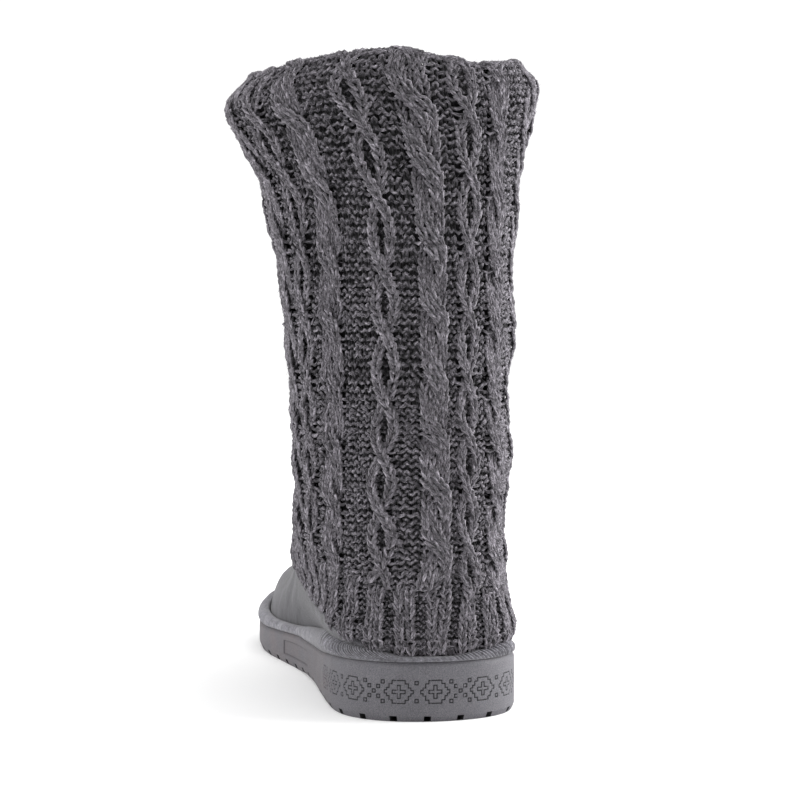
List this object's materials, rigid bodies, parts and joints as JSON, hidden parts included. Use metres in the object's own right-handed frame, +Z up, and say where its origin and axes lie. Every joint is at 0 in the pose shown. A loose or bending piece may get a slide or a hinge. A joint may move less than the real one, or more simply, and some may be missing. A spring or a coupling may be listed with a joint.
{
  "type": "mukluk boot",
  "caption": "Pull-on winter boot for the right foot: tall cable-knit shaft with turned-in collar and ribbed hem, suede foot, padded edge strip and thick moulded rubber sole.",
  "frame": {"origin": "centre of the heel's flat rest face on the ground", "axes": "+Y to the toe, +Z up, +X to the lateral side of this right boot"},
  "size_m": [0.1419, 0.2709, 0.2888],
  "materials": {
    "sole_rubber": "matt moulded rubber, mid grey, fine grain",
    "strip_suede": "suede, gathered over padding, mid grey",
    "insole_cloth": "short brushed pile, light grey",
    "foot_suede": "suede, short nap, mid grey",
    "shaft_knit": "heathered wool-blend yarn, charcoal, cable knit with a halo of fibres"
  },
  "bodies": {
    "root": {"outsole": "sole_rubber", "wrap_binding": "strip_suede", "insole": "insole_cloth", "vamp": "foot_suede", "shaft": "shaft_knit"}
  },
  "joints": []
}
